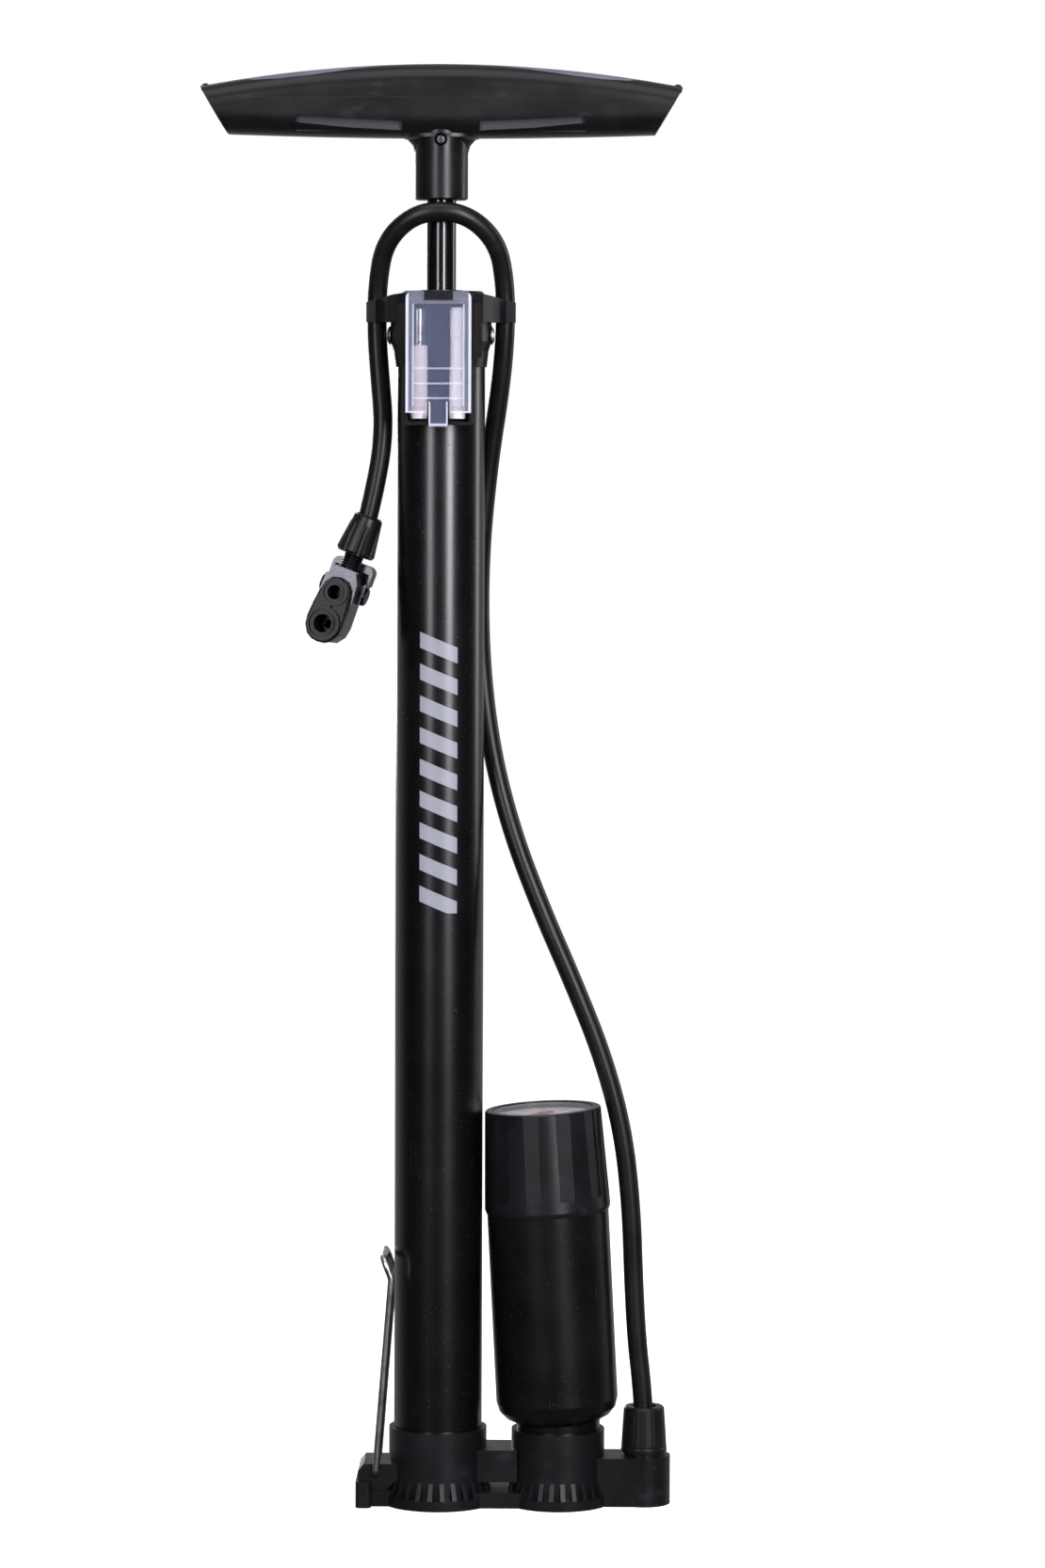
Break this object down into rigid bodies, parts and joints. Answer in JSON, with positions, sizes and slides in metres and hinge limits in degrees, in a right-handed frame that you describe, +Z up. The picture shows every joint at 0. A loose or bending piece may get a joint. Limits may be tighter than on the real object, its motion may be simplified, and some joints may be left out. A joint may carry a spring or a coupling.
{
  "type": "floor bike pump",
  "caption": "Upright floor pump with a T handle, slim barrel, air tank with a top gauge, fold-out foot loop, hose over the cap and a twin-port lever head.",
  "frame": {"origin": "on the floor, on the barrel's axis", "axes": "+Z up along the barrel and the piston rod, +X towards the air tank and the hose outlet, -Y the front, which the adaptor box faces"},
  "size_m": [0.2068, 0.0641, 0.6207],
  "materials": {
    "moulded_black": "fine-grained moulded",
    "smooth_black": "satin moulded",
    "soft_pad": "soft smooth",
    "black_paint": "satin gloss powder coat",
    "hose_rubber": "smooth",
    "seal_rubber": "matt",
    "bright_steel": "bright wire",
    "plain_steel": "turned",
    "brass_parts": "turned",
    "silver_casting": "satin painted casting",
    "clear_cover": "frosted clear plastic",
    "clear_lens": "clear",
    "dial_print": "printed plate",
    "needle_red": "painted",
    "white_plastic": "moulded",
    "pale_rubber": "soft moulded",
    "bush_plastic": "moulded"
  },
  "bodies": {
    "pump_frame": {"base_moulding": "moulded_black", "barrel_tube": "black_paint", "barrel_seal": "seal_rubber", "top_cap": "moulded_black", "cap_screws": "plain_steel", "rod_bush": "bush_plastic", "valve_seat": "brass_parts", "valve_spring": "bright_steel", "valve_retainer": "brass_parts", "tank_can": "black_paint", "tank_seal": "seal_rubber", "gauge_bezel": "smooth_black", "gauge_case": "smooth_black", "gauge_inlet": "brass_parts", "bourdon_tube": "brass_parts", "gauge_movement": "brass_parts", "gauge_dial": "dial_print", "dial_screws": "plain_steel", "gauge_lens": "clear_lens", "base_barb": "brass_parts", "base_hose_nut": "moulded_black", "hose": "hose_rubber", "head_hose_nut": "moulded_black", "head_barb": "smooth_black", "head_body": "silver_casting", "head_face": "smooth_black", "port_seals": "seal_rubber", "box_tray": "smooth_black", "adaptor_sleeve": "pale_rubber", "needle_adaptor": "plain_steel", "nozzle_adaptor": "white_plastic"},
    "piston": {"piston_body": "smooth_black", "piston_cup": "seal_rubber"},
    "handle": {"piston_rod": "black_paint", "rod_tail": "plain_steel", "piston_nut": "plain_steel", "handle_body": "moulded_black", "handle_top_pad": "soft_pad", "handle_screw": "plain_steel"},
    "foot_loop": {"foot_wire": "bright_steel"},
    "cover": {"box_cover": "clear_cover"},
    "needle": {"gauge_needle": "needle_red"},
    "ball": {"check_ball": "plain_steel"},
    "lever": {"head_lever": "silver_casting", "lever_pin": "smooth_black"},
    "plunger": {"head_plunger": "smooth_black"}
  },
  "joints": [
    {"name": "rod_slide", "type": "slide", "parent": "pump_frame", "child": "piston", "axis": [0, 0, 1], "range_m": [0, 0.45]},
    {"name": "handle_turn", "type": "hinge", "parent": "piston", "child": "handle", "pos_m": [0, 0, 0.3], "axis": [0, 0, 1], "continuous": true},
    {"name": "foot_fold", "type": "hinge", "parent": "pump_frame", "child": "foot_loop", "pos_m": [-0.0264, 0, 0.0143], "axis": [0, -1, 0], "range_deg": [0, 98]},
    {"name": "cover_flip", "type": "hinge", "parent": "pump_frame", "child": "cover", "pos_m": [0, -0.031, 0.5212], "axis": [-1, 0, 0], "range_deg": [0, 105]},
    {"name": "needle_turn", "type": "hinge", "parent": "pump_frame", "child": "needle", "pos_m": [0.0451, 0, 0.16851], "axis": [0.0523, 0, -0.9986], "range_deg": [0, 270], "stiffness_Nm_per_rad": 0.0002, "springref_deg": -11.46},
    {"name": "ball_lift", "type": "slide", "parent": "pump_frame", "child": "ball", "axis": [0, 0, 1], "range_m": [0, 0.0015], "stiffness_N_per_m": 60, "springref_m": -0.003, "deforming": ["valve_spring"]},
    {"name": "lever_lock", "type": "hinge", "parent": "pump_frame", "child": "lever", "pos_m": [-0.04148, 0.00479, 0.39506], "axis": [-0.9162, 0.2079, 0.3426], "range_deg": [0, 90]},
    {"name": "plunger_press", "type": "slide", "parent": "pump_frame", "child": "plunger", "axis": [-0.1947, -0.9781, 0.0728], "range_m": [0, 0.0015]}
  ],
  "couplings": [
    {"joint": "plunger_press", "follows": "lever_lock", "m_per_rad": 0.00095483}
  ]
}
